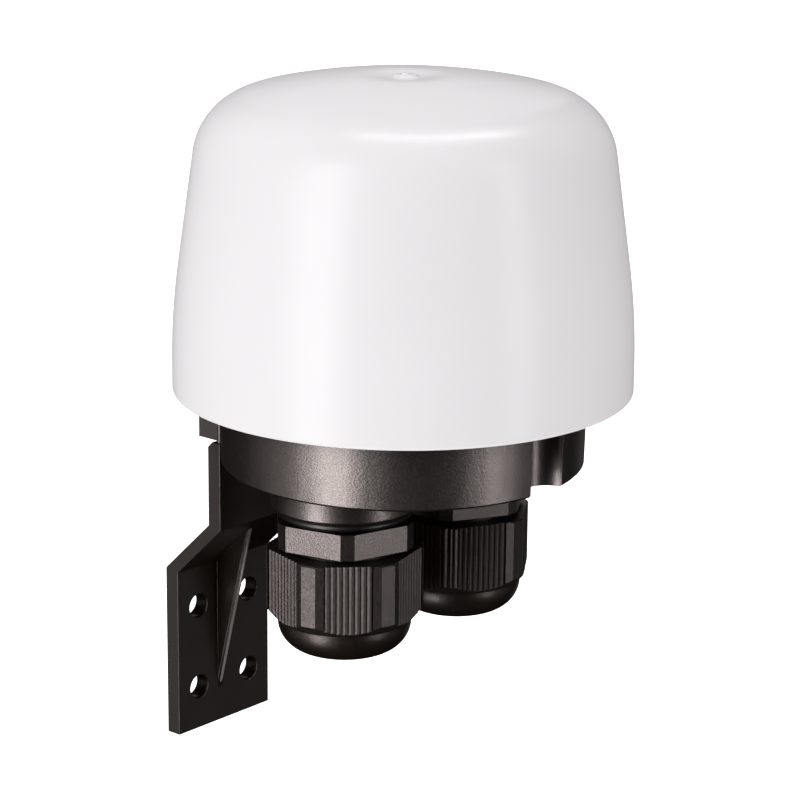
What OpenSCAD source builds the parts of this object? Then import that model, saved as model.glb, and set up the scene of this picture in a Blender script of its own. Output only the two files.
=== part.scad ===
// Wall-mounted photocell switch: an opal dome pushed over a dark moulded base,
// two cable glands underneath and a cranked wall bracket behind.
// Frame: origin at the middle of the wall screw pattern on the wall face,
// +Y into the wall, +Z up, X along the wall. Millimetres.

/* [Dome] */
// Outer radius of the dome at its rim
dome_r = 41.6; // [40:0.1:44]
// Height of the straight band above the rim
dome_band = 14.1; // [12:0.1:16]
// Draft of the side above the band, degrees
dome_draft = 7.9; // [6:0.1:9]
// Radius of the shoulder
dome_shoulder = 12.7; // [10:0.1:14]
// Radius of the shallow crown
dome_crown = 126.6; // [110:0.1:140]
// Overall height of the dome
dome_h = 57.0; // [54:0.1:60]
// Wall of the dome
dome_wall = 2.0; // [1.6:0.1:2.4]

/* [Base] */
// Outer radius of the base at its lower edge
base_r = 33.0; // [32:0.1:33.2]
// Depth of the base below the dome rim
base_h = 13.4; // [12.6:0.1:14]
// Wall of the base cup
base_wall = 2.5; // [2:0.1:2.6]
// Floor of the base cup
base_floor = 3.0; // [2.6:0.1:3.2]
// Radius of the half-round finger channel in the front of the base
notch_r = 4.5; // [4:0.1:4.8]
// Sideways offset of the finger channel
notch_x = 0.8; // [0:0.1:1]

/* [Cable glands] */
// Half the distance between the two gland axes
gland_x = 15.6; // [15:0.1:16]
// Radius of the boss each gland seats on
boss_r = 13.2; // [12.8:0.1:13.4]
// Depth of the boss
boss_h = 5.3; // [5:0.1:5.6]
// Spanner size of the gland body
hex_af = 24; // [23.6:0.1:24.2]
// Width of the cut corner of the gland hexagon
hex_facet = 2.5; // [2:0.1:3]
// Height of the gland hexagon
hex_h = 4.7; // [4.4:0.1:5]
// Distance from the gland axis to the ribbed faces of the nut
nut_a = 12.95; // [12.4:0.05:13.2]
// Distance from the gland axis to the cut corners of the nut
nut_r = 14.15; // [13.5:0.05:14.4]
// Cable hole radius in the gland seal
cable_r = 6.0; // [5:0.1:6]
// Pitch of the gland thread, for one turn of the nut
gland_pitch = 1.5; // [1.5:0.5:1.5]

/* [Wall bracket] */
// Distance from the wall to the dome axis
axis_y = 48.8; // [48.8:0.1:50]
// Height of the dome rim above the middle of the screw pattern
rim_z = 59.2; // [59:0.1:60]
// Width of the bracket
plate_w = 25; // [24:0.5:27]
// Thickness of the bracket
plate_t = 3.1; // [2.8:0.1:3.2]
// Sideways distance between the wall screw holes
hole_dx = 13.8; // [12:0.1:15]
// Upright distance between the wall screw holes
hole_dz = 16.6; // [15:0.1:18]
// Diameter of the wall screw holes
hole_d = 4.8; // [4.4:0.1:5.2]
// Thickness of the stiffening gusset
gusset_t = 1.1; // [1:0.1:1.6]
// Sideways offset of the stiffening gusset
gusset_x = -1.2; // [-2:0.1:2]

/* [Electronics] */
// Radius of the circuit board
board_r = 29.6; // [29:0.1:29.8]
// Height of the underside of the circuit board above the dome rim
board_z = 9.0; // [9:0.1:9.5]

/* [Hidden] */
$fn = 96;
e = 0.01;

// dome: the shoulder circle touches the drafted side and the crown sphere
function cone_c(r) = r * cos(dome_draft) + dome_band * sin(dome_draft);
function sh_k(r, f) = (cone_c(r) - f) / cos(dome_draft);
function sh_z(r, f, rc, h) =
    let (t = tan(dome_draft), b = sh_k(r, f), zc = h - rc, k = rc - f,
         m = b * t + zc, q = t * t + 1)
    (m + sqrt(m * m - q * (b * b + zc * zc - k * k))) / q;
function sh_r(r, f, rc, h) = sh_k(r, f) - sh_z(r, f, rc, h) * tan(dome_draft);

flange_r = dome_r - dome_wall - 0.35;   // flange the dome slides over
flange_z = 1.2;                         // underside of the flange above the rim
flange_h = 7.0;
cup_r = base_r - base_wall;
floor_z = -base_h + base_floor;
boss_z = -base_h - boss_h;              // seat of the gland washer
washer_h = 1.6;
hex_z = boss_z - washer_h;              // top of the gland hexagon
hex_b = hex_z - hex_h;                  // its lower face
nut_t = hex_b - 1.2;                    // top of the gland nut
pad_b = nut_t - 11.2;                   // end of the nut's cut corners
cone_z = nut_t - 12.7;                  // foot of the nut's thread
nut_b = nut_t - 19.25;                  // mouth of the gland nut
nose_r = 12.1;
nose_f = 5.6;
top = board_z + 1.6;                    // upper face of the circuit board
lug_x = 14.9;                           // half width of the bracket socket
lug_y = 37.2;                           // rear face of the bracket socket
strip_y = 34.2;                         // front face of the bracket strip
near_turn = 44;                          // how far round the hexagons were left
far_turn = 78.7;                        // how far the right nut stands round from the left one
posts = [[0, 25.5], [-15.5, -20.5], [15.5, -20.5]];     // board screws

module at_rim() { translate([0, -axis_y, rim_z]) children(); }
module on_gland(s) { at_rim() translate([s * gland_x, 0, 0]) children(); }
module on_board(x, y) { at_rim() translate([x, y, top]) children(); }

// ring between two heights
module ring(r1, r2, z1, z2) {
    translate([0, 0, z1]) difference() {
        cylinder(r = r2, h = z2 - z1);
        translate([0, 0, -1]) cylinder(r = r1, h = z2 - z1 + 2);
    }
}

// ------------------------------------------------------------------ dome
module dome_profile(r, f, rc, h) {
    sz = sh_z(r, f, rc, h);
    sr = sh_r(r, f, rc, h);
    zc = h - rc;
    tr = sr * rc / (rc - f);
    tz = zc + (sz - zc) * rc / (rc - f);
    polygon([[0, 0], [r, 0], [r, dome_band],
        [sr + f * cos(dome_draft), sz + f * sin(dome_draft)], [tr, tz], [0, tz]]);
    translate([sr, sz]) circle(r = f);
    intersection() {
        translate([0, zc]) circle(r = rc, $fn = 360);
        translate([0, tz - 0.5]) square([tr, h]);
    }
}

module dome_solid(r, f, rc, h) {
    rotate_extrude() intersection() {
        dome_profile(r, f, rc, h);
        translate([0, -1]) square([r + 1, h + 2]);
    }
}

module dome_cover() {
    w = dome_wall;
    color("WhiteSmoke") at_rim() union() {
        difference() {
            dome_solid(dome_r, dome_shoulder, dome_crown, dome_h);
            translate([0, 0, -e]) dome_solid(dome_r - w, dome_shoulder - w, dome_crown - w, dome_h - w);
            // lead-in inside the rim
            translate([0, 0, -e]) cylinder(r1 = dome_r - w + 0.5, r2 = dome_r - w, h = 0.8);
        }
        // stop ribs that land on the base flange
        for (a = [45:90:315]) rotate(a) translate([dome_r - w - 3, -0.8, flange_z + flange_h + 0.2])
            cube([3.2, 1.6, 8]);
        // gate mark left at the middle of the crown
        translate([0, 0, dome_h - 0.2]) cylinder(r = 0.7, h = 0.35);
    }
}

module cover_seal() {
    color("DimGray") at_rim() rotate_extrude()
        translate([flange_r - 1.05, flange_z + 3.5]) circle(r = 1.2);
}

// ------------------------------------------------------------------ base
module lug_slot() {
    translate([-8.2, strip_y - 0.1, -base_h - 1]) cube([16.4, 2.0, base_h - 1]);
    // window for the latch of the bracket tongue
    translate([-3.2, strip_y + 1.5, -7.2]) cube([6.4, 4, 3.4]);
}

module base_housing() {
    color("#3b3332") at_rim() difference() {
        union() {
            // skirt, slightly wider upwards
            translate([0, 0, -base_h + 0.4]) cylinder(r1 = base_r, r2 = base_r + 0.35, h = base_h + flange_z);
            translate([0, 0, -base_h]) cylinder(r1 = base_r - 0.4, r2 = base_r, h = 0.4);
            // flange inside the dome
            translate([0, 0, flange_z]) cylinder(r = flange_r, h = flange_h);
            // gland bosses with a broken lower edge
            for (s = [-1, 1]) translate([s * gland_x, 0, boss_z]) {
                cylinder(r1 = boss_r - 0.6, r2 = boss_r, h = 0.6);
                translate([0, 0, 0.6]) cylinder(r = boss_r, h = boss_h);
            }
            // socket for the bracket
            translate([-lug_x, 24, -base_h]) cube([2 * lug_x, lug_y - 24, base_h - 0.4]);
            translate([-lug_x, 24, -base_h]) cube([2 * lug_x, 10.5, base_h + flange_z + 1]);
            // bead down each side of the skirt
            for (s = [-1, 1]) translate([s * 22.15, 24.6, -10.6]) cylinder(r = 0.5, h = 10.6 + flange_z + 0.5, $fn = 32);
            // board posts
            for (p = posts) translate([p[0], p[1], floor_z - e]) cylinder(r = 3, h = board_z - floor_z + e);
        }
        // cup, leaving the board posts and the wall behind the finger channel
        difference() {
            translate([0, 0, floor_z]) cylinder(r = cup_r, h = 40);
            for (p = posts) translate([p[0], p[1], floor_z - 1]) cylinder(r = 3, h = board_z - floor_z + 1);
            translate([notch_x, -base_r, floor_z - 1]) cylinder(r = notch_r + 1.8, h = 2.8 - floor_z);
        }
        for (p = posts) translate([p[0], p[1], board_z - 9]) cylinder(r = 1.1, h = 10);
        // gland holes
        for (s = [-1, 1]) translate([s * gland_x, 0, boss_z - 1]) cylinder(r = 10.2, h = 20);
        // seal groove
        translate([0, 0, flange_z + 2.2]) difference() {
            cylinder(r = flange_r + 1, h = 2.6);
            translate([0, 0, -1]) cylinder(r = flange_r - 2.3, h = 5);
        }
        // finger channel below the rim
        translate([notch_x, -base_r, -base_h - 1]) cylinder(r = notch_r, h = base_h + 1);
        lug_slot();
    }
}

// ------------------------------------------------------------------ bracket
module wall_bracket() {
    t = plate_t;
    zt = -42.9;     // where the plate starts to lean forward
    zs = -32.0;     // where the strip stands upright again
    zb = -76.0;
    zz = -14.9;     // shoulder under the socket
    y0 = strip_y;
    yw = axis_y;
    color("#2b2625") at_rim() difference() {
        union() {
            rotate([90, 0, 90]) translate([0, 0, -plate_w / 2]) linear_extrude(plate_w)
                polygon([[yw - t, zb], [yw, zb], [yw, zt + 0.6], [y0 + t, zs + 0.6], [y0 + t, zz - 1.1],
                    [y0 + t - 1.1, zz], [y0, zz], [y0, zs], [yw - t, zt]]);
            // tongue that goes up into the base socket, with its latch
            translate([-8, y0, zz - 1]) cube([16, 1.8, 13.4]);
            rotate([90, 0, 90]) translate([0, 0, -3]) linear_extrude(6)
                polygon([[y0 + 1.5, -6.9], [y0 + 2.5, -6.9], [y0 + 1.6, -4.2], [y0 + 1.5, -4.2]]);
            // gusset
            rotate([90, 0, 90]) translate([0, 0, gusset_x - gusset_t / 2]) linear_extrude(gusset_t)
                polygon([[37.1, zs - 2.4], [yw - t, -69.0], [yw - t + 0.5, -69.0], [yw - t + 0.5, zt + 0.2], [37.7, zs - 2.4]]);
        }
        for (sx = [-1, 1], sz = [-1, 1])
            translate([sx * hole_dx / 2, yw + 1, -rim_z + sz * hole_dz / 2])
                rotate([90, 0, 0]) cylinder(d = hole_d, h = 8);
    }
}

// ------------------------------------------------------------------ glands
module hexagon(af, h) { cylinder(d = af / cos(30), h = h, $fn = 6); }

module gland_body(s) {
    color("#4a4241") on_gland(s) difference() {
        union() {
            // threaded spigot through the floor
            translate([0, 0, hex_z - 1]) cylinder(r = 9.8, h = 15.5);
            // hexagon with cut corners
            rotate(near_turn - (s < 0 ? 0 : 12.5)) translate([0, 0, hex_b]) intersection() {
                hexagon(hex_af, hex_h);
                rotate(30) hexagon(2 * (hex_af / 2 / cos(30) - hex_facet / 2 / tan(60)), hex_h);
            }
            // threaded neck for the nut
            translate([0, 0, hex_b - 9]) cylinder(r = 10.3, h = 10);
            // ring of clamping fingers
            translate([0, 0, hex_b - 12.4]) cylinder(r = 9.7, h = 6);
            translate([0, 0, hex_b - 14.5]) cylinder(r1 = 9.1, r2 = 9.7, h = 2.1);
        }
        translate([0, 0, hex_b - 20]) cylinder(r = 8.7, h = 14);
        translate([0, 0, hex_b - 20]) cylinder(r = 7.6, h = 50);
        for (a = [0:45:135]) rotate(a) translate([-12, -0.6, hex_b - 15]) cube([24, 1.2, 5.2]);
    }
}

// outline of the nut: a hexagon with cut corners and eight ribs on each face; two opposite corners are ribbed as well
ribs = 8;
rib_p = 1.07;       // pitch of the ribs
rib_d = 0.36;       // depth of the grooves between ribs
face_u = nut_a * tan(30) - (nut_a / cos(30) - nut_r) / sin(30);     // half width of a face between its cut corners
function turned(v, a) = [v[0] * cos(a) - v[1] * sin(a), v[0] * sin(a) + v[1] * cos(a)];
// a run of n ribs that starts at u0 on a face that stands r from the axis
function rib_run(r, u0, n, a) = [for (v = concat([[r, u0 - 0.08]],
    [for (i = [0:n - 1]) for (q = [[0, 1], [0.09, 0.63], [0.46, 0], [0.54, 0], [0.91, 0.63]]) [r - rib_d * q[1], u0 + rib_p * (i + q[0])]],
    [[r - rib_d, u0 + rib_p * n], [r, u0 + rib_p * n + 0.08]])) turned(v, a)];
function ribbed(k) = k % 3 == 1;        // corner k lies between faces k and k + 1
function nut_outline() = [for (k = [0:5]) let (c = 60 * k, lo = ribbed((k + 5) % 6) ? 1 : 0, hi = ribbed(k) ? 1 : 0)
    for (v = concat([turned([nut_a, -face_u], c)], rib_run(nut_a, -rib_p * (ribs / 2 + lo), ribs + lo + hi, c),
        [turned([nut_a, face_u], c)], hi == 1 ? rib_run(nut_r, -rib_p, 2, c + 30) : [])) v];

module gland_nut(s) {
    color("#453d3c") on_gland(s) difference() {
        union() {
            intersection() {
                rotate(-135.1 + (s < 0 ? 0 : far_turn)) translate([0, 0, pad_b - 2]) linear_extrude(nut_t - pad_b + 2)
                    polygon(nut_outline());
                // faces chamfered into the nose
                rotate_extrude() polygon([[0, nut_t], [nut_r - 0.2, nut_t], [nut_r + 0.1, nut_t - 0.3],
                    [nut_r + 0.1, pad_b], [nose_r + 0.1, pad_b - 2], [0, pad_b - 2]]);
            }
            rotate_extrude() union() {
                square_down(nose_r, nut_b + nose_f, pad_b);
                square_down(nose_r - nose_f, nut_b, pad_b);
                intersection() {
                    translate([nose_r - nose_f, nut_b + nose_f]) circle(r = nose_f);
                    square_down(nose_r, nut_b - 1, pad_b);
                }
            }
        }
        // thread bore, clamping cone, seal pocket and cable mouth
        translate([0, 0, cone_z + 1.9]) cylinder(r = 10.6, h = 20);
        translate([0, 0, cone_z - 1.8]) cylinder(r1 = 9.5, r2 = 10.6, h = 3.71);
        translate([0, 0, nut_b + 3.2]) cylinder(r = 9.5, h = cone_z - nut_b - 4.99);
        translate([0, 0, nut_b - 1]) cylinder(r = cable_r + 0.2, h = 8);
    }
}
// rectangle from the axis out to r, between two heights
module square_down(r, z1, z2) { translate([0, z1]) square([r, z2 - z1]); }

module gland_seal(s) {
    color("#262626") on_gland(s) difference() {
        union() {
            translate([0, 0, nut_b + 4.7 - e]) cylinder(r = 8.4, h = 8.2);
            translate([0, 0, nut_b + 3.3]) cylinder(r = 9.2, h = 1.4);
        }
        translate([0, 0, nut_b]) cylinder(r = cable_r, h = 30);
    }
}

module gland_washer(s) { color("#1f1c1b") on_gland(s) ring(10.0, 12.2, hex_z, boss_z); }

module lock_nut(s) {
    color("#2f2a29") on_gland(s) difference() {
        rotate(30) translate([0, 0, floor_z]) hexagon(26, 3.6);
        translate([0, 0, floor_z - 1]) cylinder(r = 9.9, h = 8);
    }
}

// ------------------------------------------------------------------ electronics
module circuit_board() {
    color("#2c6b3f") at_rim() translate([0, 0, board_z]) difference() {
        cylinder(r = board_r, h = 1.6);
        // cut-out the wires come up through
        translate([-12, -board_r - 5, -1]) cube([24, 13.5, 4]);
        for (p = posts) translate([p[0], p[1], -1]) cylinder(r = 1.6, h = 4);
    }
}

module board_screws() {
    color("Silver") at_rim() for (p = posts) translate([p[0], p[1], 0]) difference() {
        union() {
            translate([0, 0, board_z - 6]) cylinder(r = 1.0, h = 8);
            translate([0, 0, top]) cylinder(r = 2.6, h = 1.0);
            translate([0, 0, top + 1.0]) cylinder(r1 = 2.6, r2 = 1.6, h = 0.8);
        }
        for (k = [0, 90]) rotate(k) translate([-1.6, -0.35, top + 1.0]) cube([3.2, 0.7, 2]);
    }
}

module relay() {
    color("#20252b") on_board(-14.5, 6.5) {
        cube([29, 12.7, 15.4]);
        translate([1, 1, 15.4 - e]) cube([27, 10.7, 0.4]);
    }
}

module terminal_block() {
    color("#3d7a55") on_board(-11.7, -20.4) difference() {
        union() {
            cube([23.4, 10.4, 8.5]);
            translate([0, 2.4, 8.4]) cube([23.4, 8, 4.6]);
        }
        for (i = [0:2]) translate([3.9 + 7.8 * i, 0, 0]) {
            translate([-2.9, -1, 1.2]) cube([5.8, 9.4, 6.3]);
            translate([0, 6.0, 7]) cylinder(r = 2.5, h = 10);
        }
    }
}

module terminal_clamps() {
    color("Gold") for (i = [0:2]) on_board(-7.8 + 7.8 * i, -20.4) difference() {
        translate([-2.6, 1.6, 1.3]) cube([5.2, 6.6, 6.0]);
        translate([-1.9, 0, 2.1]) cube([3.8, 12, 3.4]);
        translate([0, 6.0, 5]) cylinder(r = 1.7, h = 4);
    }
}

module terminal_screws() {
    color("Silver") for (i = [0:2]) on_board(-7.8 + 7.8 * i, -14.4) difference() {
        union() {
            translate([0, 0, 3.2]) cylinder(r = 1.5, h = 6);
            translate([0, 0, 8.2]) cylinder(r = 2.3, h = 1.8);
        }
        translate([-3, -0.4, 9.2]) cube([6, 0.8, 2]);
    }
}

module photocell_holder() {
    color("#e4e1d8") on_board(-20.5, 0) difference() {
        union() {
            translate([-4, -4, 0]) cube([8, 8, 2]);
            cylinder(r = 3.6, h = 20);
        }
        translate([0, 0, 18]) cylinder(r = 2.7, h = 4);
        for (s = [-1, 1]) translate([s * 1.3, 0, -1]) cylinder(r = 0.5, h = 30);
    }
}

module photocell() {
    color("#c8572f") on_board(-20.5, 0) {
        translate([0, 0, 18.05]) cylinder(r = 2.55, h = 2.0);
        for (s = [-1, 1]) translate([s * 1.3, 0, 0]) cylinder(r = 0.3, h = 18.5);
    }
}

dial_x = 20.5;
module trimmer_body() {
    color("#2f5fa8") on_board(dial_x, 0) difference() {
        translate([-4.8, -4.8, 0]) cube([9.6, 9.6, 4.6]);
        translate([0, 0, 2.4]) cylinder(r = 3.8, h = 6);
        translate([0, 0, 1.0]) cylinder(r = 1.2, h = 6);
    }
}

module lux_dial() {
    color("White") on_board(dial_x, 0) difference() {
        union() {
            translate([0, 0, 1.3]) cylinder(r = 0.95, h = 2);
            translate([0, 0, 2.7]) cylinder(r = 3.5, h = 3.6);
        }
        // slot with an arrow end
        translate([-2.7, -0.45, 5.3]) cube([5.4, 0.9, 3]);
        translate([1.8, 0, 5.3]) cylinder(r = 1.1, h = 3, $fn = 3);
    }
}

module dropper_capacitor() {
    color("#c9a53a") on_board(-25.2, -16.6) {
        translate([0, 0, 0.3]) cube([9, 12, 11]);
    }
}

module smoothing_capacitor() {
    color("#27304a") on_board(19.8, -11.2) {
        translate([0, 0, 0.4]) cylinder(r = 5, h = 15.6);
        cylinder(r = 4.4, h = 0.5);
    }
}

module varistor() {
    color("#3b6fb5") on_board(-21.5, 10.6) {
        translate([0, 0, 7.0]) rotate([90, 0, 0]) translate([0, 0, -2]) cylinder(r = 5, h = 4);
        for (s = [-1, 1]) translate([s * 2.5, 0, 0]) cylinder(r = 0.4, h = 5);
    }
}

module bridge_rectifier() {
    color("#1d1d1f") on_board(17.5, 8) {
        translate([0, 0, 0.5]) cube([8.4, 6.4, 3.2]);
        for (x = [1.2, 6.2], y = [-0.4, 6.0]) translate([x, y, 0]) cube([1, 0.8, 1.8]);
    }
}

module comparator_chip() {
    color("#232325") on_board(-6.5, -5.6) {
        translate([0, 0, 0.5]) cube([9.8, 6.4, 3.4]);
        for (i = [0:3], y = [-0.5, 6.0]) translate([0.7 + 2.54 * i, y, 0]) cube([0.8, 0.9, 2]);
    }
}

module switching_transistor() {
    color("#1b1b1d") on_board(9, -2.6) {
        translate([0, 0, 3]) intersection() {
            cylinder(r = 2.4, h = 4.8);
            translate([-3, -1.2, 0]) cube([6, 6, 6]);
        }
        for (x = [-1.27, 0, 1.27]) translate([x - 0.22, -0.22, 0]) cube([0.44, 0.44, 3.4]);
    }
}

module resistors() {
    color("#c7a87a") for (i = [0:3]) on_board(-9 + 6 * i, 22.2) {
        translate([0, 0, 0.2]) cylinder(r = 1.2, h = 6.4);
        translate([0, 0, 6.5]) cylinder(r = 0.3, h = 1.2);
        translate([0, -0.3, 7.1]) cube([2.5, 0.6, 0.6]);
        translate([2.3, 0, 0]) cylinder(r = 0.3, h = 7.7);
    }
}

module gland_body_left() { gland_body(-1); }
module gland_body_right() { gland_body(1); }
module gland_nut_left() { gland_nut(-1); }
module gland_nut_right() { gland_nut(1); }
module gland_seal_left() { gland_seal(-1); }
module gland_seal_right() { gland_seal(1); }
module gland_washer_left() { gland_washer(-1); }
module gland_washer_right() { gland_washer(1); }
module lock_nut_left() { lock_nut(-1); }
module lock_nut_right() { lock_nut(1); }

dome_cover();
cover_seal();
base_housing();
wall_bracket();
gland_body_left();
gland_body_right();
gland_nut_left();
gland_nut_right();
gland_seal_left();
gland_seal_right();
gland_washer_left();
gland_washer_right();
lock_nut_left();
lock_nut_right();
circuit_board();
board_screws();
relay();
terminal_block();
terminal_clamps();
terminal_screws();
photocell();
photocell_holder();
trimmer_body();
lux_dial();
dropper_capacitor();
smoothing_capacitor();
varistor();
bridge_rectifier();
comparator_chip();
switching_transistor();
resistors();
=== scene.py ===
import math

import bmesh
import bpy
from mathutils import Matrix, Vector


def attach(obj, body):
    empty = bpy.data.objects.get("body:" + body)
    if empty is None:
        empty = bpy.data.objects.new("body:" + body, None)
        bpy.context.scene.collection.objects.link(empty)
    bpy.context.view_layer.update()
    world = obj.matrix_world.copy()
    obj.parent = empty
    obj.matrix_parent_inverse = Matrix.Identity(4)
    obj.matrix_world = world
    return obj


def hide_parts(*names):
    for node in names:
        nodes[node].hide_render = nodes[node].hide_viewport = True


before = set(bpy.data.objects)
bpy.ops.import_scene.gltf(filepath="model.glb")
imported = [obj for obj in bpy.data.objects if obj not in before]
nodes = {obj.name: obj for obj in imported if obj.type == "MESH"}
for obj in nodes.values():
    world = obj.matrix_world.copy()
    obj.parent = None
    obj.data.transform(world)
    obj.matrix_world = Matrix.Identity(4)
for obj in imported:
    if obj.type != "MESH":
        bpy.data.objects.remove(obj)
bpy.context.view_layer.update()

MM = 0.001
AY, RZ = -48.8, 59.2            # dome axis and rim plane in the row frame, mm
scene = bpy.context.scene

# ---------------------------------------------------------------- camera
cam_data = bpy.data.cameras.new("camera")
cam_data.sensor_width = 36.0
cam_data.sensor_fit = "AUTO"
cam_data.lens = 135.0
cam_data.clip_start = 0.01
cam_data.clip_end = 50.0
camera = bpy.data.objects.new("camera", cam_data)
scene.collection.objects.link(camera)
right = Vector((0.65550, -0.75515, 0.00808)).normalized()
back = Vector((-0.72930, -0.63021, 0.26638)).normalized()
up = back.cross(right).normalized()
right = up.cross(back).normalized()
m = Matrix((right, up, back)).transposed().to_4x4()
m.translation = Vector((-0.39629, -0.39056, 0.20132))
camera.matrix_world = m
scene.camera = camera

scene.view_settings.view_transform = "Standard"
scene.view_settings.look = "None"


# ---------------------------------------------------------------- materials
def socket(n, *names):
    for k in names:
        if k in n.inputs:
            return n.inputs[k]
    raise KeyError(names)


class Mat:
    """A Principled material with helpers for procedural detail in object space, millimetres."""

    def __init__(self, name, color, rough, spec=0.5):
        self.m = bpy.data.materials.new(name)
        self.m.use_nodes = True
        self.t = self.m.node_tree
        self.b = self.t.nodes["Principled BSDF"]
        self.b.inputs["Base Color"].default_value = (*color, 1)
        self.b.inputs["Roughness"].default_value = rough
        self.b.inputs["Specular IOR Level"].default_value = spec
        tc = self.t.nodes.new("ShaderNodeTexCoord")
        mp = self.t.nodes.new("ShaderNodeMapping")
        mp.inputs["Scale"].default_value = (1000, 1000, 1000)
        self.t.links.new(tc.outputs["Object"], mp.inputs["Vector"])
        self.co = mp.outputs["Vector"]
        self.color = color

    def new(self, kind):
        return self.t.nodes.new(kind)

    def link(self, a, b):
        self.t.links.new(a, b)

    def noise(self, scale, detail=3.0, rough=0.5, stretch=None):
        n = self.new("ShaderNodeTexNoise")
        n.inputs["Scale"].default_value = scale
        n.inputs["Detail"].default_value = detail
        n.inputs["Roughness"].default_value = rough
        co = self.co
        if stretch:
            mp = self.new("ShaderNodeMapping")
            mp.inputs["Scale"].default_value = stretch
            self.link(co, mp.inputs["Vector"])
            co = mp.outputs["Vector"]
        self.link(co, n.inputs["Vector"])
        return n.outputs["Fac"]

    def ramp(self, fac, stops):
        r = self.new("ShaderNodeValToRGB")
        while len(r.color_ramp.elements) < len(stops):
            r.color_ramp.elements.new(0.5)
        for e, (p, c) in zip(r.color_ramp.elements, stops):
            e.position = p
            e.color = c if len(c) == 4 else (*c, 1)
        self.link(fac, r.inputs["Fac"])
        return r.outputs["Color"]

    def range(self, fac, a, b, lo=0.3, hi=0.7):
        n = self.new("ShaderNodeMapRange")
        n.inputs["From Min"].default_value = lo
        n.inputs["From Max"].default_value = hi
        n.inputs["To Min"].default_value = a
        n.inputs["To Max"].default_value = b
        self.link(fac, n.inputs["Value"])
        return n.outputs["Result"]

    def tint(self, fac, low, high, lo=0.3, hi=0.7):
        c = self.color
        self.link(self.ramp(fac, [(lo, tuple(v * low for v in c)), (hi, tuple(v * high for v in c))]),
                  self.b.inputs["Base Color"])
        return self

    def rough(self, fac, a, b):
        self.link(self.range(fac, a, b), self.b.inputs["Roughness"])
        return self

    def bump(self, layers):
        """layers: (height socket, strength, distance in mm)"""
        prev = None
        for fac, strength, dist in layers:
            n = self.new("ShaderNodeBump")
            n.inputs["Strength"].default_value = strength
            n.inputs["Distance"].default_value = dist * MM
            self.link(fac, n.inputs["Height"])
            if prev is not None:
                self.link(prev, n.inputs["Normal"])
            prev = n.outputs["Normal"]
        self.link(prev, self.b.inputs["Normal"])
        return self


def moulded(name, color, r0, r1, grain=2.2, depth=0.03, strength=0.35, spec=0.5, crevice=0.0, speckle=0.0,
            shade=(0.15, 0.60)):
    """Moulded plastic: fine spark texture, slow gloss drift, a little flow shading and painted shade: within crevice
    mm, ambient occlusion dims the specular level in crevices, holes and under overhangs.
    """
    k = Mat(name, color, (r0 + r1) / 2, spec)
    fine = k.noise(grain, 2.0, 0.6)
    slow = k.noise(0.09, 3.0)
    k.tint(slow, 0.86, 1.14)
    k.rough(k.noise(speckle, 5.0, 0.8) if speckle else slow, r0, r1)
    k.bump([(fine, strength, depth), (k.noise(0.35, 2.0), 0.12, 0.06)])
    if crevice:
        # painted shade: ambient occlusion turns the specular level down through the shade range, darkening crevices,
        # holes and surfaces under overhangs
        ao = k.new("ShaderNodeAmbientOcclusion")
        ao.samples = 6
        ao.inputs["Distance"].default_value = crevice * MM
        k.link(k.range(ao.outputs["AO"], 0.0, spec, *shade), k.b.inputs["Specular IOR Level"])
    return k


opal = Mat("opal_plastic", (0.80, 0.785, 0.80), 0.30, 0.13)
opal.tint(opal.noise(0.045, 3.0), 0.98, 1.02, 0.05, 0.95)
opal.link(opal.range(opal.noise(0.08, 3.0), 0.25, 0.35, 0.05, 0.95), opal.b.inputs["Roughness"])
opal.bump([(opal.noise(1.6, 2.0), 0.03, 0.02)])

BROWN = (0.0068, 0.0036, 0.0014)
# crevice and shade set the painted shade: how far the ambient occlusion reaches and how far it dims the specular
base_m = moulded("base_plastic", BROWN, 0.32, 0.40, 2.5, 0.05, 0.70, crevice=8.0, speckle=1.8, shade=(0.15, 0.92))
bracket_m = moulded("bracket_plastic", BROWN, 0.28, 0.33, 2.4, 0.03, 0.16, crevice=9.0, shade=(0.35, 0.90))
gland_m = moulded("gland_plastic", BROWN, 0.27, 0.44, 2.9, 0.05, 0.75, crevice=3.0, speckle=1.5)
nut_m = moulded("nut_plastic", BROWN, 0.32, 0.60, 2.9, 0.05, 0.80, crevice=1.2, speckle=1.5, shade=(0.62, 0.97))
# the domed nose is smoother than the ribbed faces above it
height = nut_m.new("ShaderNodeSeparateXYZ")
nut_m.link(nut_m.co, height.inputs["Vector"])
by_height = nut_m.new("ShaderNodeMix")
nut_m.link(nut_m.range(height.outputs["Z"], 0.0, 1.0, 19.4, 20.4), by_height.inputs["Factor"])
nut_m.link(nut_m.range(nut_m.noise(2.0, 2.0, 0.6), 0.30, 0.38, 0.3, 0.7), by_height.inputs["A"])
nut_m.link(nut_m.b.inputs["Roughness"].links[0].from_socket, by_height.inputs["B"])
nut_m.link(by_height.outputs["Result"], nut_m.b.inputs["Roughness"])
rubber_m = moulded("seal_rubber", (0.0070, 0.0058, 0.0052), 0.52, 0.62, 3.0, 0.03, 0.30, 0.25)
washer_m = moulded("washer_rubber", (0.0066, 0.0046, 0.0034), 0.34, 0.44, 2.2, 0.03, 0.30, 0.5)
for k, ior in ((base_m, 2.05), (bracket_m, 1.80), (gland_m, 1.82), (nut_m, 1.66)):
    k.b.inputs["IOR"].default_value = ior
    k.b.inputs["Specular Tint"].default_value = (1.0, 0.87, 0.84, 1)

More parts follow.
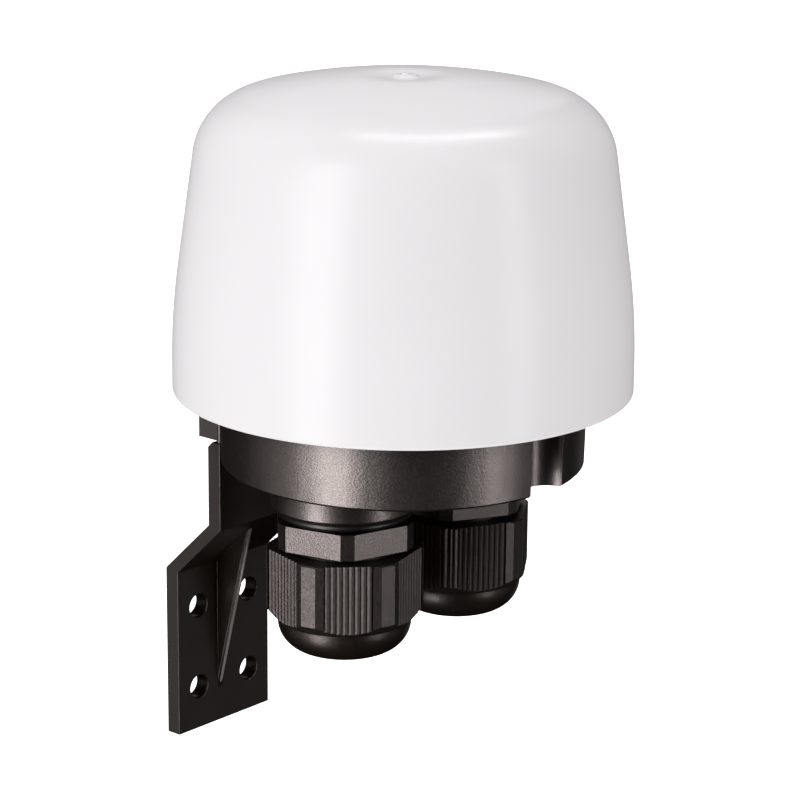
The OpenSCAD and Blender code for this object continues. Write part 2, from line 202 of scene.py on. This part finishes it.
board_m = Mat("board_laminate", (0.020, 0.130, 0.045), 0.28)
weave = board_m.noise(0.9, 2.0)
board_m.tint(board_m.noise(0.12, 4.0), 0.75, 1.2)
board_m.bump([(weave, 0.12, 0.03)])
relay_m = moulded("relay_case", (0.014, 0.017, 0.020), 0.24, 0.32, 1.2, 0.02, 0.15)
terminal_m = moulded("terminal_green", (0.030, 0.150, 0.070), 0.38, 0.46, 1.4, 0.02, 0.2)
holder_m = moulded("holder_white", (0.62, 0.60, 0.54), 0.40, 0.50, 1.4, 0.02, 0.15)
dial_m = moulded("dial_white", (0.74, 0.74, 0.72), 0.35, 0.42, 1.6, 0.02, 0.15)
trim_m = moulded("trimmer_blue", (0.018, 0.085, 0.300), 0.28, 0.36, 1.6, 0.02, 0.15)
film_m = moulded("film_yellow", (0.52, 0.33, 0.045), 0.42, 0.52, 1.2, 0.03, 0.25)
can_m = moulded("can_sleeve", (0.012, 0.020, 0.060), 0.22, 0.30, 0.8, 0.02, 0.12)
var_m = moulded("varistor_blue", (0.022, 0.105, 0.340), 0.20, 0.30, 0.7, 0.05, 0.3)
chip_m = moulded("chip_epoxy", (0.014, 0.014, 0.015), 0.42, 0.52, 2.6, 0.03, 0.3)
res_m = moulded("resistor_lacquer", (0.48, 0.33, 0.16), 0.25, 0.35, 1.0, 0.03, 0.2)
cell_m = Mat("cell_face", (0.55, 0.14, 0.05), 0.30)
wave = cell_m.new("ShaderNodeTexWave")
wave.inputs["Scale"].default_value = 0.35
wave.inputs["Distortion"].default_value = 0.6
cell_m.link(cell_m.co, wave.inputs["Vector"])
cell_m.link(cell_m.ramp(wave.outputs["Fac"], [(0.35, (0.60, 0.15, 0.05)), (0.55, (0.72, 0.64, 0.52))]),
            cell_m.b.inputs["Base Color"])


def metal(name, color, r0, r1):
    k = Mat(name, color, (r0 + r1) / 2)
    k.b.inputs["Metallic"].default_value = 1.0
    k.tint(k.noise(0.5, 3.0), 0.88, 1.08)
    k.rough(k.noise(0.8, 3.0), r0, r1)
    k.bump([(k.noise(3.0, 2.0, 0.5, (1, 1, 6)), 0.15, 0.02)])
    return k


steel_m = metal("plated_steel", (0.62, 0.61, 0.58), 0.26, 0.40)
brass_m = metal("clamp_brass", (0.72, 0.52, 0.22), 0.24, 0.36)

FINISH = {
    "dome_cover": opal, "cover_seal": rubber_m, "base_housing": base_m, "wall_bracket": bracket_m,
    "gland_body_left": gland_m, "gland_body_right": gland_m, "gland_nut_left": nut_m, "gland_nut_right": nut_m,
    "gland_seal_left": rubber_m, "gland_seal_right": rubber_m, "gland_washer_left": washer_m,
    "gland_washer_right": washer_m, "lock_nut_left": gland_m, "lock_nut_right": gland_m,
    "circuit_board": board_m, "board_screws": steel_m, "relay": relay_m, "terminal_block": terminal_m,
    "terminal_clamps": brass_m, "terminal_screws": steel_m, "photocell": cell_m, "photocell_holder": holder_m,
    "trimmer_body": trim_m, "lux_dial": dial_m, "dropper_capacitor": film_m, "smoothing_capacitor": can_m,
    "varistor": var_m, "bridge_rectifier": chip_m, "comparator_chip": chip_m, "switching_transistor": chip_m,
    "resistors": res_m,
}
for name, mat in FINISH.items():
    o = nodes[name]
    if not o.material_slots:
        o.data.materials.append(mat.m)
    for s in o.material_slots:
        s.material = mat.m

# ---------------------------------------------------------------- shaping helpers
def soften(name, width, angle=28, segments=2, flat=False):
    """Rounds the sharp edges of a CAD node and keeps its curved faces smooth."""
    o = nodes[name]
    w = o.modifiers.new("weld", "WELD")
    w.merge_threshold = 2e-6
    d = o.modifiers.new("tidy", "DECIMATE")
    d.decimate_type = "DISSOLVE"
    d.angle_limit = math.radians(0.4)
    b = o.modifiers.new("round", "BEVEL")
    b.limit_method = "ANGLE"
    b.angle_limit = math.radians(angle)
    b.width = width * MM
    b.segments = segments
    b.use_clamp_overlap = True
    b.harden_normals = flat
    if not flat:
        n = o.modifiers.new("normals", "WEIGHTED_NORMAL")
        n.keep_sharp = False
        n.weight = 100


def add_piece(name, bm, mat, body, replaces=None, smooth=True):
    me = bpy.data.meshes.new(name)
    bmesh.ops.recalc_face_normals(bm, faces=bm.faces[:])
    bm.to_mesh(me)
    bm.free()
    if smooth:
        for f in me.polygons:
            f.use_smooth = True
    me.materials.append(mat.m)
    o = bpy.data.objects.new(name, me)
    scene.collection.objects.link(o)
    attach(o, body)
    if replaces:
        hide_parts(replaces)
    return o


def spin(bm, profile, segs, cx=0.0, closed=True):
    """Turns a closed (r, z) outline in rim millimetres about the upright axis at x = cx."""
    rings = []
    for r, z in profile:
        if r < 1e-6:
            rings.append([bm.verts.new((cx * MM, AY * MM, (RZ + z) * MM))])
            continue
        ring = []
        for i in range(segs):
            a = 2 * math.pi * i / segs
            ring.append(bm.verts.new(((cx + r * math.cos(a)) * MM, (AY + r * math.sin(a)) * MM, (RZ + z) * MM)))
        rings.append(ring)
    pairs = list(zip(rings, rings[1:]))
    if closed and len(rings[0]) > 1 and len(rings[-1]) > 1:
        pairs.append((rings[-1], rings[0]))
    for a, b in pairs:
        if len(a) == 1 and len(b) == 1:
            continue
        for i in range(segs):
            j = (i + 1) % segs
            if len(a) == 1:
                bm.faces.new((a[0], b[j], b[i]))
            elif len(b) == 1:
                bm.faces.new((a[i], a[j], b[0]))
            else:
                bm.faces.new((a[i], a[j], b[j], b[i]))


def arc(cx, cz, r, a0, a1, n):
    return [(cx + r * math.cos(math.radians(a0 + (a1 - a0) * i / n)),
             cz + r * math.sin(math.radians(a0 + (a1 - a0) * i / n))) for i in range(n + 1)]


def bend(p0, p1, p2, n):
    return [tuple((1 - t) ** 2 * p0[k] + 2 * t * (1 - t) * p1[k] + t * t * p2[k] for k in (0, 1))
            for t in [i / n for i in range(n + 1)]]


# ---------------------------------------------------------------- dome
DOME_R, BAND, DRAFT, SHOULDER, CROWN, DOME_H, DOME_W = 41.6, 14.1, math.radians(7.9), 12.7, 126.6, 57.0, 2.0


def dome_side(r, f, rc, h, t):
    """Outline from low on the band up to the crown tangent, with the band run smoothly into the side."""
    cone = r * math.cos(DRAFT) + BAND * math.sin(DRAFT)
    k = (cone - f) / math.cos(DRAFT)
    tn = math.tan(DRAFT)
    zc = h - rc
    m = k * tn + zc
    q = tn * tn + 1
    sz = (m + math.sqrt(m * m - q * (k * k + zc * zc - (rc - f) ** 2))) / q
    sr = k - sz * tn
    top = math.degrees(math.atan2(sz - zc, sr))
    pts = bend((r, BAND - t), (r, BAND), (r - t * math.sin(DRAFT), BAND + t * math.cos(DRAFT)), 14)
    pts += arc(sr, sz, f, math.degrees(DRAFT), top, 30)
    n = 26
    for i in range(1, n + 1):
        a = math.radians(top + (90 - top) * i / n)
        pts.append((rc * math.cos(a), zc + rc * math.sin(a)))
    return pts


outer = dome_side(DOME_R, SHOULDER, CROWN, DOME_H, 9.0)
outer = [p for p in outer if p[0] > 8.4]
inner = dome_side(DOME_R - DOME_W, SHOULDER - DOME_W, CROWN - DOME_W, DOME_H - DOME_W, 9.0)
inner[-1] = (0.0, inner[-1][1])
gate = [(8.0, 56.735), (7.0, 56.74), (6.0, 56.72), (5.0, 56.66), (4.0, 56.58), (3.2, 56.53), (2.6, 56.51), (2.3, 56.54),
        (2.12, 56.64), (2.0, 56.78), (1.8, 56.87), (1.5, 56.90), (0.75, 56.91), (0.70, 56.95), (0.68, 57.06), (0.60, 57.13),
        (0.45, 57.15), (0.0, 57.15)]
rim = [(DOME_R - 1.5, 0.0), (DOME_R - 0.9, 0.0)] + arc(DOME_R - 0.7, 0.7, 0.7, -90, 0, 6) + [(DOME_R, 2.5)]
lead = [(DOME_R - DOME_W, 2.0), (DOME_R - DOME_W, 0.8), (DOME_R - 1.6, 0.12)]
bm = bmesh.new()
spin(bm, rim + outer + gate, 192)
spin(bm, [inner[-1]] + inner[-2::-1] + lead + [rim[0]], 192, closed=False)
bmesh.ops.remove_doubles(bm, verts=bm.verts[:], dist=1e-7)
for a in (45, 135, 225, 315):
    ca, sa = math.cos(math.radians(a)), math.sin(math.radians(a))
    ret = bmesh.ops.create_cube(bm, size=1.0)
    for v in ret["verts"]:
        x = DOME_R - DOME_W - 1.4 + v.co.x * 3.2
        y = v.co.y * 1.6
        z = 12.4 + v.co.z * 8.0
        v.co = ((x * ca - y * sa) * MM, (AY + x * sa + y * ca) * MM, (RZ + z) * MM)
add_piece("dome_shell", bm, opal, "cover", "dome_cover")

# rounded front edge of the bracket gusset, coloured far lighter than the bracket as a painted highlight
bm = bmesh.new()
p0, p1 = Vector((-1.2, AY + 37.55, RZ - 34.6)), Vector((-1.2, AY + 45.95, RZ - 68.3))
ax = (p1 - p0).normalized()
side = Vector((1, 0, 0))
nrm = ax.cross(side)
rows = []
for q, rr in ((p0, 0.56), (p0 + (p1 - p0) * 0.5, 0.56), (p1 - ax * 1.2, 0.56), (p1 - ax * 0.5, 0.47), (p1, 0.24)):
    rows.append([bm.verts.new((q + (side * math.cos(2 * math.pi * i / 20) + nrm * math.sin(2 * math.pi * i / 20)) * rr) * MM)
                 for i in range(20)])
for a, b in zip(rows, rows[1:]):
    for i in range(20):
        bm.faces.new((a[i], a[(i + 1) % 20], b[(i + 1) % 20], b[i]))
bm.faces.new(rows[0])
bm.faces.new(rows[-1][::-1])
# painted highlight: the bead's colour is many times lighter than the bracket's brown plastic
edge_highlight_m = moulded("bracket_edge_painted_highlight", (0.155, 0.138, 0.128), 0.26, 0.32, 2.4, 0.03, 0.30)
edge_highlight_m.b.inputs["IOR"].default_value = 2.1
edge_highlight_m.b.inputs["Specular Tint"].default_value = (1.0, 0.87, 0.84, 1)
add_piece("gusset_edge", bm, edge_highlight_m, "housing")

# screw threads on the gland necks, seen when a nut is turned down
for side_name, gx in (("left", -15.6), ("right", 15.6)):
    bm = bmesh.new()
    per, top, low, pitch = 48, -26.9, -33.5, 1.5
    count = int((top - low) / pitch * per)
    rows = []
    for i in range(count + 1):
        a = 2 * math.pi * i / per
        z = top - pitch * i / per
        tip = 10.27 + 0.23 * min(1.0, i / 16, (count - i) / 16)
        rows.append([bm.verts.new(((gx + r * math.cos(a)) * MM, (AY + r * math.sin(a)) * MM, (RZ + z + dz) * MM))
                     for r, dz in ((10.22, 0.50), (tip, 0.10), (tip, -0.10), (10.22, -0.50))])
    for a, b in zip(rows, rows[1:]):
        for i in range(4):
            bm.faces.new((a[i], a[(i + 1) % 4], b[(i + 1) % 4], b[i]))
    bm.faces.new(rows[0])
    bm.faces.new(rows[-1][::-1])
    add_piece("neck_thread_" + side_name, bm, gland_m, "housing", smooth=False)

for name, width in (("wall_bracket", 0.30), ("base_housing", 0.30), ("gland_body_left", 0.22), ("gland_body_right", 0.22),
                    ("lock_nut_left", 0.2), ("lock_nut_right", 0.2), ("gland_washer_left", 0.7), ("gland_washer_right", 0.7)):
    soften(name, width, flat=name == "wall_bracket")

# ---------------------------------------------------------------- details on the board
TOP = 10.6                      # upper face of the circuit board above the rim


def at(x, y, z):
    return (x * MM, (AY + y) * MM, (RZ + z) * MM)


def box(bm, x0, y0, z0, x1, y1, z1):
    v = [bm.verts.new(at(x, y, z)) for z in (z0, z1) for x, y in ((x0, y0), (x1, y0), (x1, y1), (x0, y1))]
    for f in ((3, 2, 1, 0), (4, 5, 6, 7), (0, 1, 5, 4), (1, 2, 6, 5), (2, 3, 7, 6), (3, 0, 4, 7)):
        bm.faces.new([v[i] for i in f])


def tube(bm, x, y, outline, n=28):
    """A closed (r, z) outline turned about the upright line at x, y."""
    rings = []
    for r, z in outline:
        rings.append([bm.verts.new(at(x + r * math.cos(2 * math.pi * i / n), y + r * math.sin(2 * math.pi * i / n), z))
                      for i in range(n)])
    for a, b in zip(rings, rings[1:] + rings[:1]):
        for i in range(n):
            bm.faces.new((a[i], a[(i + 1) % n], b[(i + 1) % n], b[i]))


def disc(bm, x, y, r, z0, z1, n=28):
    lo = [bm.verts.new(at(x + r * math.cos(2 * math.pi * i / n), y + r * math.sin(2 * math.pi * i / n), z0)) for i in range(n)]
    hi = [bm.verts.new(at(x + r * math.cos(2 * math.pi * i / n), y + r * math.sin(2 * math.pi * i / n), z1)) for i in range(n)]
    for i in range(n):
        bm.faces.new((lo[i], lo[(i + 1) % n], hi[(i + 1) % n], hi[i]))
    bm.faces.new(hi)
    bm.faces.new(lo[::-1])


def washer(bm, x, y, r0, r1, z0, z1, n=36):
    tube(bm, x, y, [(r0, z0), (r1, z0), (r1, z1), (r0, z1)], n)


def outline_rect(bm, x0, y0, x1, y1, w, z0, z1):
    box(bm, x0, y0, z0, x1, y0 + w, z1)
    box(bm, x0, y1 - w, z0, x1, y1, z1)
    box(bm, x0, y0 + w, z0, x0 + w, y1 - w, z1)
    box(bm, x1 - w, y0 + w, z0, x1, y1 - w, z1)


ink_m = moulded("print_white", (0.62, 0.62, 0.58), 0.50, 0.62, 2.0, 0.02, 0.2)
trace_m = moulded("trace_green", (0.030, 0.190, 0.070), 0.22, 0.30, 1.0, 0.02, 0.15)
tin_m = metal("tinned_metal", (0.66, 0.65, 0.62), 0.22, 0.38)
alu_m = metal("can_aluminium", (0.70, 0.70, 0.69), 0.28, 0.36)
stripe_m = moulded("sleeve_stripe", (0.42, 0.44, 0.48), 0.30, 0.40, 1.0, 0.02, 0.12)
track_m = moulded("cell_track", (0.30, 0.055, 0.022), 0.26, 0.34, 1.6, 0.02, 0.2)
dark_m = moulded("mark_dark", (0.012, 0.012, 0.013), 0.45, 0.55, 2.0, 0.02, 0.2)

# printed outlines and the scale round the trimmer
bm = bmesh.new()
z0, z1 = TOP, TOP + 0.04
outline_rect(bm, -15.2, 5.8, 15.2, 19.9, 0.25, z0, z1)
outline_rect(bm, -7.2, -6.9, 4.0, 2.1, 0.22, z0, z1)
outline_rect(bm, 16.9, 7.1, 26.2, 15.2, 0.22, z0, z1)
outline_rect(bm, -25.8, -17.1, -15.7, -4.2, 0.22, z0, z1)
outline_rect(bm, -12.4, -20.9, 12.4, -9.5, 0.22, z0, z1)
washer(bm, 19.8, -11.2, 5.5, 5.75, z0, z1)
washer(bm, 9.0, -2.0, 3.3, 3.52, z0, z1)
outline_rect(bm, -27.2, 8.1, -16.0, 13.1, 0.22, z0, z1)
for i in range(4):
    outline_rect(bm, -10.6 + 6 * i, 20.6, -5.2 + 6 * i, 23.8, 0.2, z0, z1)
for i in range(11):
    a = math.radians(-135 + 27 * i)
    for k in range(4 if i % 5 == 0 else 2):
        r = 6.9 + 0.35 * k
        disc(bm, 20.5 - r * math.sin(a), r * math.cos(a), 0.2, z0, z1, 10)
add_piece("board_print", bm, ink_m, "housing", smooth=False)

# copper runs under the lacquer
bm = bmesh.new()
z0, z1 = TOP - 0.01, TOP + 0.025
for x0, y0, x1, y1 in ((-7.8, -9.6, -7.8, -3.0), (0.0, -9.6, 0.0, -7.6), (7.8, -9.6, 7.8, 5.6), (-14.0, -3.0, -7.8, -3.0),
                       (-14.0, -3.0, -14.0, 3.4), (-19.0, 3.4, -14.0, 3.4), (4.6, 0.0, 14.8, 0.0), (14.8, -5.0, 14.8, 6.6),
                       (14.8, 6.6, 17.0, 6.6), (-12.0, 3.9, 12.6, 3.9), (12.6, 3.9, 12.6, 5.6), (-3.0, 2.3, -3.0, 5.6),
                       (1.2, 2.3, 1.2, 3.9), (-15.6, 20.4, -10.8, 20.4), (12.2, 20.4, 16.4, 20.4), (16.4, 15.4, 16.4, 20.4),
                       (-15.6, 14.2, -15.6, 20.4), (4.6, -4.2, 8.0, -4.2), (11.0, -4.6, 14.8, -4.6), (-14.8, -9.0, -12.6, -9.0)):
    w = 0.55
    box(bm, min(x0, x1) - w, min(y0, y1) - w, z0, max(x0, x1) + w, max(y0, y1) + w, z1)
add_piece("board_runs", bm, trace_m, "housing", smooth=False)

# solder rings and the bright metal of the legs
bm = bmesh.new()
pads = [(-6.5 + 1.1 + 2.54 * i, -5.6 + y + 0.45) for i in range(4) for y in (-0.5, 6.0)]
pads += [(17.5 + x + 0.5, 8 + y + 0.4) for x in (1.2, 6.2) for y in (-0.4, 6.0)]
pads += [(9 + x, -2.6) for x in (-1.27, 0, 1.27)]
pads += [(-21.5 + s * 2.5, 10.6) for s in (-1, 1)]
pads += [(-9 + 6 * i + d, 22.2) for i in range(4) for d in (2.3,)]
for x, y in pads:
    tube(bm, x, y, [(0.30, TOP), (0.95, TOP), (0.80, TOP + 0.10), (0.55, TOP + 0.32), (0.42, TOP + 0.55), (0.30, TOP + 0.55)], 18)
for i in range(4):
    for y0, y1 in ((-0.52, 0.0), (6.4, 6.92)):
        box(bm, -6.5 + 0.68 + 2.54 * i, -5.6 + y0, TOP + 0.3, -6.5 + 1.52 + 2.54 * i, -5.6 + y1, TOP + 2.03)
for x in (1.18, 6.18):
    for y0, y1 in ((-0.42, 0.0), (6.4, 6.82)):
        box(bm, 17.5 + x, 8 + y0, TOP + 0.3, 17.5 + x + 1.04, 8 + y1, TOP + 1.83)
for x in (-1.27, 0, 1.27):
    box(bm, 9 + x - 0.24, -2.84, TOP + 0.3, 9 + x + 0.24, -2.36, TOP + 3.0)
for sx in (-1, 1):
    tube(bm, -21.5 + sx * 2.5, 10.6, [(0.1, TOP + 0.3), (0.42, TOP + 0.3), (0.42, TOP + 2.6), (0.1, TOP + 2.6)], 14)
for i in range(4):
    x = -9 + 6 * i
    tube(bm, x, 22.2, [(0.1, TOP + 6.6), (0.32, TOP + 6.6), (0.32, TOP + 7.2), (0.1, TOP + 7.2)], 14)
    box(bm, x - 0.31, 21.89, TOP + 7.08, x + 2.61, 22.51, TOP + 7.72)
    tube(bm, x + 2.3, 22.2, [(0.1, TOP + 0.4), (0.32, TOP + 0.4), (0.32, TOP + 7.1), (0.1, TOP + 7.1)], 14)
add_piece("board_solder", bm, tin_m, "housing")

# colour bands of the resistors
BANDS = (("band_brown", (0.10, 0.030, 0.010)), ("band_black", (0.010, 0.010, 0.010)), ("band_red", (0.42, 0.020, 0.015)),
         ("band_gold", (0.55, 0.36, 0.08)))
for k, (nm, col) in enumerate(BANDS):
    bm = bmesh.new()
    for i in range(4):
        z = TOP + 1.1 + 1.15 * ((k + i) % 3 if k < 3 else 3.6)
        tube(bm, -9 + 6 * i, 22.2, [(1.0, z), (1.23, z), (1.245, z + 0.1), (1.245, z + 0.5), (1.23, z + 0.6), (1.0, z + 0.6)], 28)
    add_piece(nm, bm, moulded(nm, col, 0.25, 0.35, 1.0, 0.02, 0.15), "housing")

# electrolytic: bare can top with a vent cross, and the polarity stripe down its sleeve
bm = bmesh.new()
disc(bm, 19.8, -11.2, 4.0, TOP + 16.0, TOP + 16.03, 40)
add_piece("can_top", bm, alu_m, "housing", smooth=False)
bm = bmesh.new()
for a in (45, 135):
    ca, sa = math.cos(math.radians(a)), math.sin(math.radians(a))
    vs = []
    for u, w in ((-3.2, -0.12), (3.2, -0.12), (3.2, 0.12), (-3.2, 0.12)):
        vs.append((19.8 + u * ca - w * sa, -11.2 + u * sa + w * ca))
    lo = [bm.verts.new(at(x, y, TOP + 16.02)) for x, y in vs]
    hi = [bm.verts.new(at(x, y, TOP + 16.05)) for x, y in vs]
    bm.faces.new(hi)
    for i in range(4):
        bm.faces.new((lo[i], lo[(i + 1) % 4], hi[(i + 1) % 4], hi[i]))
add_piece("can_vent", bm, dark_m, "housing", smooth=False)
bm = bmesh.new()
for i in range(12):
    a0, a1 = [math.radians(200 + 4 * (i + d)) for d in (0, 1)]
    q = [bm.verts.new(at(19.8 + 5.03 * math.cos(a), -11.2 + 5.03 * math.sin(a), z))
         for a, z in ((a0, TOP + 0.9), (a1, TOP + 0.9), (a1, TOP + 15.4), (a0, TOP + 15.4))]
    bm.faces.new(q)
bmesh.ops.remove_doubles(bm, verts=bm.verts[:], dist=1e-8)
add_piece("can_stripe", bm, stripe_m, "housing")

# light-sensitive track of the cell and the rim round it
bm = bmesh.new()
zt = TOP + 20.05
for k in range(6):
    y = -1.65 + 0.66 * k
    hw = math.sqrt(2.25 ** 2 - y * y) - 0.25
    box(bm, -20.5 - hw, y - 0.17, zt, -20.5 + hw, y + 0.17, zt + 0.04)
    if k < 5:
        y2 = y + 0.66
        h2 = min(hw, math.sqrt(2.25 ** 2 - y2 * y2) - 0.25)
        e0 = h2 if k % 2 else -h2
        box(bm, -20.5 + e0 - 0.17, y + 0.17, zt, -20.5 + e0 + 0.17, y2 - 0.17, zt + 0.04)
add_piece("cell_track", bm, track_m, "housing", smooth=False)

# moulded key dimple and notch of the chip, relay lid ridge, and its blank label
bm = bmesh.new()
disc(bm, -5.3, -4.2, 0.45, TOP + 3.895, TOP + 3.92, 18)
disc(bm, -6.2, -2.4, 0.30, TOP + 3.895, TOP + 3.92, 18)
add_piece("chip_marks", bm, dark_m, "housing", smooth=False)
bm = bmesh.new()
outline_rect(bm, -12.6, 8.4, 12.6, 17.3, 0.35, TOP + 15.7, TOP + 15.95)
for sx in (-14.5, 14.5):
    box(bm, sx - 0.06, 7.2, TOP + 1.0, sx + 0.06, 18.5, TOP + 1.35)
box(bm, -13.9, 6.44, TOP + 1.0, 13.9, 6.56, TOP + 1.35)
box(bm, -13.9, 19.14, TOP + 1.0, 13.9, 19.26, TOP + 1.35)
add_piece("relay_ridges", bm, relay_m, "housing", smooth=False)

# ---------------------------------------------------------------- floor and light
fm = bpy.data.meshes.new("floor")
fm.from_pydata([(-6, -6, -0.12), (6, -6, -0.12), (6, 6, -0.12), (-6, 6, -0.12)], [], [(0, 1, 2, 3)])
floor = bpy.data.objects.new("floor", fm)
scene.collection.objects.link(floor)
pale = Mat("pale_floor", (0.90, 0.90, 0.90), 0.9, 0.0)
pale.tint(pale.noise(0.002, 2.0), 0.995, 1.0)
pale.b.inputs["Emission Color"].default_value = (1, 1, 1, 1)
pale.b.inputs["Emission Strength"].default_value = 1.0
# the floor shows from above only, so that the part can be looked at from below
clear = pale.new("ShaderNodeBsdfTransparent")
face = pale.new("ShaderNodeNewGeometry")
either = pale.new("ShaderNodeMixShader")
pale.link(face.outputs["Backfacing"], either.inputs[0])
pale.link(pale.b.outputs["BSDF"], either.inputs[1])
pale.link(clear.outputs["BSDF"], either.inputs[2])
pale.link(either.outputs["Shader"], pale.t.nodes["Material Output"].inputs["Surface"])
fm.materials.append(pale.m)
floor.visible_glossy = False
floor.visible_diffuse = False
floor.visible_transmission = False
floor.visible_shadow = False

world = bpy.data.worlds.new("studio")
scene.world = world
world.use_nodes = True
bg = world.node_tree.nodes["Background"]
bg.inputs["Color"].default_value = (1.0, 0.985, 0.99, 1)
bg.inputs["Strength"].default_value = 0.81
world.cycles_visibility.glossy = False

TARGET = Vector((0, AY, RZ)) * MM


def softbox(name, turn, elev, dist, w, h, power, gloss=True, diffuse=True, color=(1, 1, 1)):
    """A rectangular light; turn is degrees to the right of the camera as seen from the part."""
    ang = math.radians(-139.2 + turn)
    e = math.radians(elev)
    d = Vector((math.cos(ang) * math.cos(e), math.sin(ang) * math.cos(e), math.sin(e)))
    l = bpy.data.lights.new(name, "AREA")
    l.shape = "RECTANGLE"
    l.size, l.size_y = w, h
    l.energy = power
    l.color = color
    o = bpy.data.objects.new(name, l)
    scene.collection.objects.link(o)
    o.location = TARGET + d * dist
    o.rotation_euler = d.to_track_quat("Z", "Y").to_euler()
    o.visible_glossy = gloss
    o.visible_diffuse = diffuse
    return o


# narrow strips that draw the highlights, and broad ones that only fill
softbox("strip_left", -43.5, 10, 0.9, 0.40, 1.1, 13.0, diffuse=False)
softbox("strip_low", -45, -31, 0.9, 0.30, 0.40, 2.0, diffuse=False)
softbox("side_left", -84, -14, 0.9, 0.40, 0.60, 0.27, diffuse=False)
softbox("side_right", 98, -16, 0.9, 0.50, 0.50, 0.07, diffuse=False)
softbox("strip_right", 57.5, 8, 0.9, 0.18, 1.1, 5.0, diffuse=False)
softbox("rim_right", 152, -8, 0.9, 0.25, 0.8, 0.10, diffuse=False)
softbox("back_card", 180, 37, 1.0, 0.5, 0.8, 1.0, diffuse=False)
softbox("fill_top", 4, 76, 1.2, 1.0, 1.0, 2.2, gloss=False)
softbox("fill_left", -52, 11, 1.2, 1.2, 1.2, 4.8, gloss=False)
softbox("fill_low", -10, -78, 1.2, 1.0, 1.0, 5.6, gloss=False)



def bar(name, start, end, width, power):
    """A bar light overhead, seen in highlights only; start and end are toward and right of the camera, as parts of its distance."""
    ang = math.radians(-139.2)
    fwd, rgt = Vector((math.cos(ang), math.sin(ang), 0)), Vector((-math.sin(ang), math.cos(ang), 0))
    ends = []
    for c, r in (start, end):
        ends.append(TARGET + (fwd * c + rgt * r + Vector((0, 0, math.sqrt(1 - c * c - r * r)))) * 0.9)
    mid = (ends[0] + ends[1]) / 2
    x = (ends[1] - ends[0]).normalized()
    z = (mid - TARGET).normalized()
    z = (z - x * z.dot(x)).normalized()
    l = bpy.data.lights.new(name, "AREA")
    l.shape = "RECTANGLE"
    l.size, l.size_y = (ends[1] - ends[0]).length, width
    l.energy = power
    o = bpy.data.objects.new(name, l)
    scene.collection.objects.link(o)
    m = Matrix((x, z.cross(x), z)).transposed().to_4x4()
    m.translation = mid
    o.matrix_world = m
    o.visible_diffuse = False
    return o


# two bars set at an angle, so that their highlight follows the round shoulder of the dome
bar("bar_left", (-0.09, -0.22), (0.0, 0.14), 0.08, 3.2)
bar("bar_right", (0.0, 0.14), (-0.28, 0.47), 0.08, 4.0)

# ---------------------------------------------------------------- final update
bpy.context.view_layer.update()
